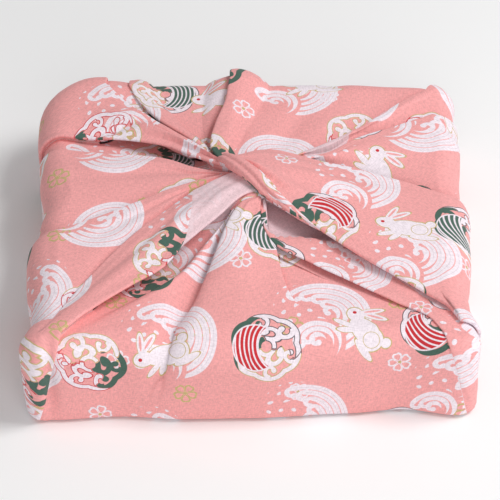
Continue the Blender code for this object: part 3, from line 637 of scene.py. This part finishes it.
def grid_mesh(name, place, flat, reverse, hidden=()):
    """A smooth mesh from a grid moved to these places, with its flat-cloth UV map and reverse attribute."""
    columns, rows = place.shape[:2]
    bm = bmesh.new()
    bmesh.ops.create_grid(bm, x_segments=columns - 1, y_segments=rows - 1, size=0.5)
    bm.verts.ensure_lookup_table()
    spots = np.array([v.co[:2] for v in bm.verts])
    column = np.rint((spots[:, 0] + 0.5) * (columns - 1)).astype(int)
    row = np.rint((spots[:, 1] + 0.5) * (rows - 1)).astype(int)
    inside = bm.verts.layers.float.new("reverse")
    on_cloth = bm.loops.layers.uv.new("flat_cloth")
    for v, j, i in zip(bm.verts, column, row):
        v.co = place[j, i] * MM
        v[inside] = reverse[j, i]
    gone = []
    for face in bm.faces:
        corners = [(column[loop.vert.index], row[loop.vert.index]) for loop in face.loops]
        for loop, (j, i) in zip(face.loops, corners):
            loop[on_cloth].uv = flat[j, i] * MM
        if (min(j for j, i in corners), min(i for j, i in corners)) in hidden:
            gone.append(face)
        face.smooth = True
    bmesh.ops.delete(bm, geom=gone, context="FACES")
    bmesh.ops.remove_doubles(bm, verts=bm.verts, dist=WELD)
    bmesh.ops.recalc_face_normals(bm, faces=bm.faces)
    mesh = bpy.data.meshes.new(name)
    bm.to_mesh(mesh)
    bm.free()
    piece = bpy.data.objects.new(name, mesh)
    bpy.context.scene.collection.objects.link(piece)
    return piece


# Between these stations the cloth's edges lie open, out of sight inside the folds
OPEN_TUCK = (18, 60)


def build_cloth():
    ribs = all_ribs()
    place, flat, reverse = cloth_arrays(ribs)
    hidden = set()
    for j, (rib, after) in enumerate(zip(ribs, ribs[1:])):
        if rib.kind == after.kind == "fold" and rib.panel != after.panel:
            hidden |= {(j, i) for i in range(*OPEN_TUCK)}
    close = [np.concatenate([part, part[:1]]) for part in (place, flat, reverse)]
    return grid_mesh("printed_cloth", *close, hidden=hidden)


# The knot's rolled corners, as centre lines with radii, in millimetres
KNOT_ROLLS = [
    dict(name="main_roll", ridges=4, depth=0.22, twist=1.6, print=(40, 60, 10),
         path=[(-15, 25, 49), (-13, 20, 57), (-7, 12, 60.5), (1, 3, 61), (8, -5, 58.5), (17, -13, 56),
               (24, -19, 54), (32, -25, 52)],
         radii=[2.0, 3.4, 4.2, 4.4, 4.0, 3.0, 2.0, 0.8]),
    dict(name="lower_roll", ridges=3, depth=0.2, twist=0.9, print=(10, 20, 50),
         path=[(-9, -8, 49), (-5, -6, 52.5), (1, -4, 54.5), (7, -3, 53.5), (13, -4, 50)],
         radii=[2.0, 2.6, 2.8, 2.6, 1.5]),
]
ROLL_STEPS = 90
ROLL_SIDES = 72
# The higher this is, the narrower the grooves between a roll's ridges
GROOVE_SHARPNESS = 5


def build_roll(roll):
    """One rolled corner of the knot: ridged, twisted and tapered along its line."""
    shares = np.linspace(0, 1, ROLL_STEPS)
    line = resample(smooth_line(roll["path"]), shares)
    radius = np.interp(shares, np.linspace(0, 1, len(roll["radii"])), roll["radii"])
    ahead = np.gradient(line, axis=0)
    length = np.concatenate([[0], np.cumsum(np.linalg.norm(np.diff(line, axis=0), axis=1))])
    ahead /= np.linalg.norm(ahead, axis=1)[:, None]
    side = np.cross(ahead, (0, 0, 1))
    side /= np.linalg.norm(side, axis=1)[:, None]
    up = np.cross(side, ahead)
    angle = np.linspace(0, 2 * math.pi, ROLL_SIDES + 1)
    turn = angle[None, :] + roll["twist"] * shares[:, None]
    groove = 1 - roll["depth"] * np.abs(np.cos(turn * roll["ridges"] / 2)) ** GROOVE_SHARPNESS
    r = radius[:, None] * groove
    place = line[:, None] + r[..., None] * (np.cos(angle)[None, :, None] * side[:, None]
                                             + np.sin(angle)[None, :, None] * up[:, None])
    spin, *shift = roll["print"]
    u, v = np.broadcast_to(length[:, None], r.shape), radius.max() * np.broadcast_to(angle, r.shape)
    flat = turned_print(u, v, math.radians(spin)) + np.array(shift)
    return grid_mesh(roll["name"], place, flat, np.full(r.shape, RIGHT_SIDE))


class Value:
    """A number or colour that a material's nodes work out; adding, multiplying and so on makes a node."""

    def __init__(self, socket):
        self.socket = socket

    def __add__(self, other):
        return work_out("ADD", self, other)

    def __sub__(self, other):
        return work_out("SUBTRACT", self, other)

    def __rsub__(self, other):
        return work_out("SUBTRACT", other, self)

    def __mul__(self, other):
        return work_out("MULTIPLY", self, other)

    def __truediv__(self, other):
        return work_out("DIVIDE", self, other)

    def __neg__(self):
        return work_out("MULTIPLY", self, -1.0)

    __radd__ = __add__
    __rmul__ = __mul__


# The material whose nodes are being made
printed = bpy.data.materials.new("printed_cotton")
printed.use_nodes = True


def node(kind, inputs, **settings):
    """A node of this kind with these inputs, by name or number."""
    made = printed.node_tree.nodes.new(kind)
    for name, value in settings.items():
        setattr(made, name, value)
    for name, value in inputs.items():
        if isinstance(value, Value):
            printed.node_tree.links.new(value.socket, made.inputs[name])
        elif isinstance(value, tuple) and made.inputs[name].type == "RGBA":
            made.inputs[name].default_value = (*value, 1)
        else:
            made.inputs[name].default_value = value
    return made


def work_out(operation, first, second=0.0, third=0.0, clamp=False):
    inputs = {0: first, 1: second, 2: third}
    return Value(node("ShaderNodeMath", inputs, operation=operation, use_clamp=clamp).outputs[0])


def size_of(a):
    return work_out("ABSOLUTE", a)


def whole(a):
    return work_out("FLOOR", a)


def sine(a):
    return work_out("SINE", a)


def cosine(a):
    return work_out("COSINE", a)


def angle(y, x):
    return work_out("ARCTAN2", y, x)


def above(a, b):
    return work_out("GREATER_THAN", a, b)


def fill(distance):
    """How much of a shape covers a spot, from its distance outside the shape's edge."""
    return work_out("MULTIPLY_ADD", distance, -1 / EDGE_SOFTNESS, 0.5, clamp=True)


def least(first, *others):
    for other in others:
        first = work_out("MINIMUM", first, other)
    return first


def most(first, *others):
    for other in others:
        first = work_out("MAXIMUM", first, other)
    return first


def together(x, y, z=0.0):
    return Value(node("ShaderNodeCombineXYZ", {0: x, 1: y, 2: z}).outputs[0])


def length(x, y):
    return Value(node("ShaderNodeVectorMath", {0: together(x, y)}, operation="LENGTH").outputs["Value"])


def apart(vector):
    return [Value(socket) for socket in node("ShaderNodeSeparateXYZ", {0: vector}).outputs]


def chance(i, j, kind):
    """Three chances that belong to a cell of a repeat."""
    noise = node("ShaderNodeTexWhiteNoise", {"Vector": together(i, j, kind * 1.37)}, noise_dimensions="3D")
    return apart(Value(noise.outputs["Color"]))


def pick(first, second, share):
    """The first colour, or the second by its share: so paint goes on the ground below it."""
    made = node("ShaderNodeMix", {0: share, 6: first, 7: second}, data_type="RGBA")
    return Value(made.outputs[2])


# The print's edges are this soft, in millimetres
EDGE_SOFTNESS = 0.22
PINK = (0.898, 0.388, 0.382)
REVERSE_PINK = (0.84, 0.62, 0.66)
WHITE = (0.90, 0.80, 0.86)
LILAC = (0.60, 0.47, 0.52)
RED = (0.60, 0.020, 0.028)
GREEN = (0.060, 0.125, 0.095)
GOLD = (0.60, 0.46, 0.20)
DARK = (0.075, 0.07, 0.08)


def turned(x, y, turn):
    c, s = cosine(turn), sine(turn)
    return x * c + y * s, y * c - x * s


def ball(x, y, at_x, at_y, radius):
    return length(x - at_x, y - at_y) - radius


def egg(x, y, at_x, at_y, long, short, tilt=0.0):
    c, s = math.cos(tilt), math.sin(tilt)
    u = (x * c + y * s) / long - (at_x * c + at_y * s) / long
    v = (y * c - x * s) / short - (at_y * c - at_x * s) / short
    return (length(u, v) - 1) * (0.5 * (long + short))


def lattice(x, y, width, height, kind, shake, spin):
    """Local coordinates in a half-drop repeat, shaken and turned a little in each cell, and two chances."""
    i = whole(x / width)
    down = y + i * (0.5 * height)
    j = whole(down / height)
    first, second, third = chance(i, j, kind)
    u = x - (i + 0.5) * width + (first - 0.5) * shake
    v = down - (j + 0.5) * height + (second - 0.5) * shake
    u, v = turned(u, v, (third - 0.5) * spin)
    return u, v, first, second


def curl(t, n):
    """One curling finger of a wave, with a round end: t runs along the wave's edge and n out of it."""
    finger = most(size_of(length(t, n - 2.0) - 2.7) - 1.0, least(t + 0.2, 2.5 - n))
    return least(finger, ball(t, n, 2.3, 2.6, 1.45))


def around(a, r, radius, count):
    """Repeats round a circle: coordinates along and out of its edge, and the angle of each one's middle."""
    step = 2 * math.pi / count
    middle = whole(a / step + 0.5) * step
    return (a - middle) * radius, r - radius, middle


def claw(x, y, r, a, radius, start, end, thick):
    """One band of a breaking wave: an arc round the origin from one angle to another, then a hook inward."""
    hook = 1.55 * thick
    c, s = math.cos(end), math.sin(end)
    at_x, at_y = (radius - hook) * c, (radius - hook) * s
    band = most(size_of(r - radius) - least((a - start) * 1.1, thick), (a - end) * radius)
    bend = most(size_of(length(x - at_x, y - at_y) - hook) - 0.8 * thick, (x - at_x) * s - (y - at_y) * c)
    return least(band, bend, ball(x, y, at_x - hook * c + 0.5 * s, at_y - hook * s - 0.5 * c, 1.05 * thick))


def claws(x, y, sizes, thick):
    """Nested bands that end in claws, each farther round than the one inside it."""
    r, a = length(x, y), angle(y, x)
    bands = [claw(x, y, r, a, radius, start, end, thick) for radius, start, end in sizes]
    return least(*bands)


def wave(x, y, ground):
    """A breaking wave: nested bands with claws, a smaller one at its foot, and spray."""
    shape = claws(x, y, [(6.5, -1.2, 0.35), (9.9, -1.7, 0.95), (13.3, -2.0, 1.4), (16.7, -2.3, 1.75),
                         (20.1, -2.4, 2.05)], 1.5)
    u, v = turned(x + 8.5, y + 13.5, 1.1)
    small = claws(u, v, [(4.2, -1.0, 0.5), (7.2, -1.6, 1.15), (10.2, -2.0, 1.6)], 1.3)
    gap = length(u, v) - 12.4
    drop_x, drop_y = x / 6.1 + 0.3 * sine(y * 0.31), y / 6.1 + 0.3 * sine(x * 0.27)
    drops = (length(drop_x - whole(drop_x) - 0.5, drop_y - whole(drop_y) - 0.5) - 0.19) * 6.1
    shape = least(most(shape, 0.6 - gap), small)
    drops = most(drops, length(x + 5, y - 8) - 15.0, 1.6 - shape)
    ground = pick(ground, WHITE, fill(least(shape, drops)))
    return pick(ground, LILAC, fill(size_of(shape + 1.5) - 0.1) * 0.6)


def roundel(x, y, ground, first, second):
    """A round crest of curling water in a few parts, edged or filled in other colours, one of them combed."""
    r, a = length(x, y), angle(y, x)
    scallop = r - 1.7 * size_of(sine(a * 3 + first * 6))
    t, n, middle = around(a + first * 2 + 0.5, r, 14.6, 6)
    scale = 1.12 + 0.2 * sine(middle * 2 + second * 20)
    rim = least(size_of(scallop - 14.8) - 1.15, curl(t / scale, n / scale * -1) * scale)
    t, n, _ = around(a + second * 3, r, 4.6, 3)
    shape = least(rim, curl(t, n), size_of(r - 3.9) - 0.9)
    quarter = a * (1 / (2 * math.pi)) + first * 3 + 0.045 * sine(r * 0.55)
    quarter = quarter - whole(quarter)
    split = least(size_of(quarter - 0.02), size_of(quarter - 0.36), size_of(quarter - 0.63)) * r * 6.28
    shape = most(shape, 0.55 - split)
    solid = pick(pick(WHITE, GREEN, above(quarter, 0.36)), WHITE, above(quarter, 0.63))
    edge = pick(pick(RED, GREEN, above(quarter, 0.36)), GOLD, above(quarter, 0.63))
    edge = pick(edge, DARK, above(second, 0.55) * above(0.36, quarter))
    comb = most(ball(x, y, -3.5, 4.0, 11.0), -ball(x, y, 4.5, -5.0, 11.2)) + 20 * above(0.5, second)
    lines = ball(x, y, 6.0, -6.5, 11.2) / 2.2
    lines = size_of(lines - whole(lines) - 0.5)
    ground = pick(ground, edge, fill(shape - 0.45))
    ground = pick(ground, solid, fill(shape))
    ground = pick(ground, WHITE, fill(comb - 0.7))
    dye = pick(pick(DARK, GREEN, above(first, 0.5)), RED, above(first, 0.2) * above(0.5, first))
    return pick(ground, dye, fill(most(comb, lines * 2.2 - 0.72)))


def rabbit(x, y, ground):
    """A running white rabbit with a gold outline and a red eye."""
    shape = least(
        egg(x, y, 1, 0, 12.5, 7.5, -0.12), egg(x, y, 8.5, -1.5, 8, 7.5), egg(x, y, -12.5, 5, 6.6, 5.2, -0.35),
        egg(x, y, -3.5, 12.5, 8.6, 2.5, 0.45), egg(x, y, -8, 14.5, 8.2, 2.3, 1.0), ball(x, y, 16.8, 4, 3.2),
        egg(x, y, -12, -6, 7, 2.1, 0.35), egg(x, y, -7, -8.5, 6, 2.0, 0.75),
        egg(x, y, 11, -9.5, 9, 2.3, -0.1))
    haunch = egg(x, y, 9, -1.5, 5.5, 5)
    inner_ear = least(egg(x, y, -3, 12.7, 5.5, 0.8, 0.45), egg(x, y, -7.8, 15, 5.4, 0.8, 1.0))
    ground = pick(ground, GOLD, fill(shape - 0.75))
    ground = pick(ground, WHITE, fill(shape))
    ground = pick(ground, GOLD, fill(most(size_of(haunch) - 0.22, x * -0.5 + y * 0.4 + 1.0)))
    ground = pick(ground, PINK, fill(inner_ear))
    return pick(ground, RED, fill(ball(x, y, -14.6, 6, 1.25)))


def blossom(x, y, ground, first):
    """A five-petalled blossom in gold or white outline."""
    r, a = length(x, y), angle(y, x)
    t, n, _ = around(a, r, 3.0, 5)
    petals = most(egg(t, n, 0, 0, 1.75, 2.6), -ball(t, n, 0, 3.0, 0.85))
    ground = pick(ground, pick(WHITE, GOLD, above(first, 0.3)), fill(size_of(petals + 0.2) - 0.38))
    return pick(ground, GOLD, fill(ball(x, y, 0, 0, 0.8)))


def printed_side(x, y):
    """The print on the cloth's right side, by its place on the flat cloth in millimetres."""
    u, v, first, _ = lattice(x + 19, y + 7, 43, 39, 3, 18, 6)
    ground = blossom(u, v, PINK, first)
    u, v, _, _ = lattice(x, y, 66, 61, 1, 5, 2.4)
    ground = wave(u, v, ground)
    u, v, first, second = lattice(x + 33, y + 18, 71, 65, 2, 22, 6)
    ground = roundel(u * 1.08, v * 1.08, ground, first, second)
    u, v, _, _ = lattice(x + 12, y + 66, 93, 84, 5, 30, 1.6)
    return rabbit(u * 1.4, v * 1.4, ground)


# The weave's pitch in millimetres, and how often a thread changes in a millimetre across and along it
THREAD_PITCH = 0.62
SLUB_ACROSS, SLUB_ALONG = 1.6, 0.45
# How much the threads darken and lighten the cloth, and how far they and the weave stand up, in metres
SLUB_CONTRAST = 0.45
WEAVE_RELIEF = 0.00006
# How much of the print shows through on the pale reverse
SHOW_THROUGH = 0.07


def threads_at(x, y):
    """Uneven threads, both ways across the cloth, about zero."""
    sums = -1.0
    for u, v in [(SLUB_ALONG, SLUB_ACROSS), (SLUB_ACROSS, SLUB_ALONG)]:
        slub = node("ShaderNodeTexNoise", {"Vector": together(x * u, y * v), "Scale": 1.0, "Detail": 2.0})
        sums = Value(slub.outputs["Fac"]) + sums
    return sums


def printed_cotton():
    """Plain-woven cotton, printed on its right side, its reverse paler with the print faint in it."""
    tree = printed.node_tree
    shader = tree.nodes["Principled BSDF"]
    flat = node("ShaderNodeUVMap", {}, uv_map="flat_cloth")
    x, y, _ = apart(Value(flat.outputs["UV"]))
    x, y = x * 1000, y * 1000
    face = printed_side(x, y)
    inside = Value(node("ShaderNodeAttribute", {}, attribute_name="reverse").outputs["Fac"])
    back = pick(REVERSE_PINK, face, SHOW_THROUGH)
    colour = pick(face, back, fill(-inside))
    threads = threads_at(x, y)
    shade = 1.0 + threads * SLUB_CONTRAST
    colour = Value(node("ShaderNodeMix", {0: 1.0, 6: colour, 7: together(shade, shade, shade)},
                        data_type="RGBA", blend_type="MULTIPLY").outputs[2])
    weave = sine(x * (2 * math.pi / THREAD_PITCH)) * sine(y * (2 * math.pi / THREAD_PITCH))
    relief = weave * 0.6 + threads * 1.5
    bump = node("ShaderNodeBump", {"Height": relief, "Distance": WEAVE_RELIEF, "Strength": 0.6})
    tree.links.new(colour.socket, shader.inputs["Base Color"])
    tree.links.new(bump.outputs["Normal"], shader.inputs["Normal"])
    shader.inputs["Roughness"].default_value = 0.85
    shader.inputs["Sheen Weight"].default_value = 0.12
    shader.inputs["Sheen Roughness"].default_value = 0.5
    return printed


# The lamps: where they stand, how large and how strong they are
LAMPS = [
    dict(name="key", place=(0.8, -0.1, 1.2), size=0.6, power=12),
    dict(name="fill", place=(0.2, -1.3, 0.55), size=0.9, power=5.5),
]
SKY_STRENGTH = 0.38
FLOOR_TONE = 0.96
FLOOR_DROP = 0.0005
FLOOR_SIZE = 4.0


def floor_and_light():
    bm = bmesh.new()
    bmesh.ops.create_grid(bm, x_segments=1, y_segments=1, size=FLOOR_SIZE)
    mesh = bpy.data.meshes.new("floor")
    bm.to_mesh(mesh)
    bm.free()
    floor = bpy.data.objects.new("floor", mesh)
    floor.location.z = -FLOOR_DROP
    bpy.context.scene.collection.objects.link(floor)
    material = bpy.data.materials.new("pale_floor")
    material.use_nodes = True
    shader = material.node_tree.nodes["Principled BSDF"]
    shader.inputs["Base Color"].default_value = (FLOOR_TONE, FLOOR_TONE, FLOOR_TONE, 1)
    shader.inputs["Roughness"].default_value = 0.9
    mesh.materials.append(material)
    world = bpy.data.worlds.new("studio")
    world.use_nodes = True
    world.node_tree.nodes["Background"].inputs["Color"].default_value = (1, 1, 1, 1)
    world.node_tree.nodes["Background"].inputs["Strength"].default_value = SKY_STRENGTH
    bpy.context.scene.world = world
    for row in LAMPS:
        light = bpy.data.lights.new(row["name"], "AREA")
        light.size = row["size"]
        light.energy = row["power"]
        lamp = bpy.data.objects.new(row["name"], light)
        lamp.location = row["place"]
        lamp.rotation_euler = (-Vector(row["place"])).to_track_quat("-Z", "Y").to_euler()
        bpy.context.scene.collection.objects.link(lamp)


# The photo's camera, as solved from the wrap's outline: its place, its tilt from straight down in
# degrees, and the distance to the picture's plane in pixels
CAMERA_PLACE = (-0.0009, -0.9887, 0.8771)
CAMERA_TILT = 49
FOCAL_PIXELS = 2735
HALF_PICTURE = 250


def photo_camera():
    camera = bpy.data.cameras.new("camera")
    camera.angle = 2 * math.atan(HALF_PICTURE / FOCAL_PIXELS)
    camera.dof.use_dof = False
    eye = bpy.data.objects.new("camera", camera)
    eye.location = CAMERA_PLACE
    eye.rotation_euler = (math.radians(CAMERA_TILT), 0, 0)
    bpy.context.scene.collection.objects.link(eye)
    bpy.context.scene.camera = eye
    bpy.context.scene.view_settings.view_transform = "Standard"


def main():
    cotton = printed_cotton()
    cloth = build_cloth()
    rolls = [build_roll(roll) for roll in KNOT_ROLLS]
    for piece in [cloth, *rolls]:
        piece.data.materials.append(cotton)
        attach(piece, "root")
        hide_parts("wrap_cloth")
    floor_and_light()
    photo_camera()


main()
